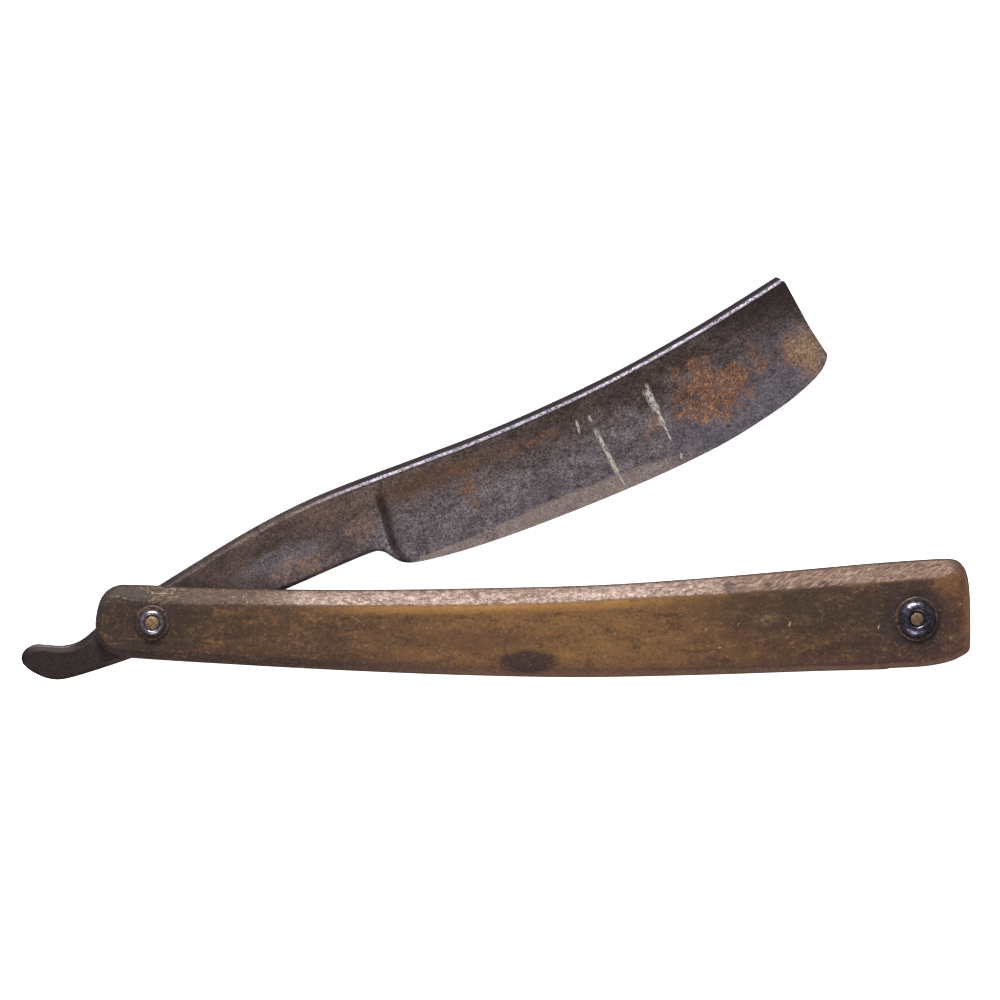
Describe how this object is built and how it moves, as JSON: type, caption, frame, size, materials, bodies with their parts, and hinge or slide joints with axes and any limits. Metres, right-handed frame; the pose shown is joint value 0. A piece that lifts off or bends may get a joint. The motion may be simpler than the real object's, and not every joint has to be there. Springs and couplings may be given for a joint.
{
  "type": "straight razor",
  "caption": "Folding straight razor with a broad smiling blade and slim horn scales, hinged on a peened pin.",
  "frame": {"origin": "on the pivot pin's axis, in the plane of the rear collars' crests, on which the razor lies", "axes": "+X from the pivot pin along the scales to the wedge, +Y from the scales' lower edge to the side on which the blade opens, +Z along the pivot pin from the rear scale to the front scale"},
  "size_m": [0.1569, 0.0668, 0.0119],
  "materials": {
    "horn": "worn polished horn, brown with golden streaks",
    "wedge_horn": "dull dark horn",
    "blade_steel": "dark patina with rust stains and a brighter honed strip",
    "collar_metal": "dark tarnish, glossy on the domes",
    "pin_brass": "dull peened brass",
    "washer_brass": "dull"
  },
  "bodies": {
    "handle": {"front_scale": "horn", "rear_scale": "horn", "wedge": "wedge_horn", "pivot_pin": "pin_brass", "wedge_pin": "pin_brass", "front_thrust_washer": "washer_brass", "rear_thrust_washer": "washer_brass", "front_pivot_base_washer": "collar_metal", "rear_pivot_base_washer": "collar_metal", "front_pivot_collar": "collar_metal", "rear_pivot_collar": "collar_metal", "front_wedge_base_washer": "collar_metal", "rear_wedge_base_washer": "collar_metal", "front_wedge_collar": "collar_metal", "rear_wedge_collar": "collar_metal"},
    "blade": {"blade": "blade_steel"}
  },
  "joints": [
    {"name": "blade_pivot", "type": "hinge", "parent": "handle", "child": "blade", "pos_m": [0, 0, 0.00597], "axis": [0, 0, 1], "range_deg": [-21, 295]}
  ]
}
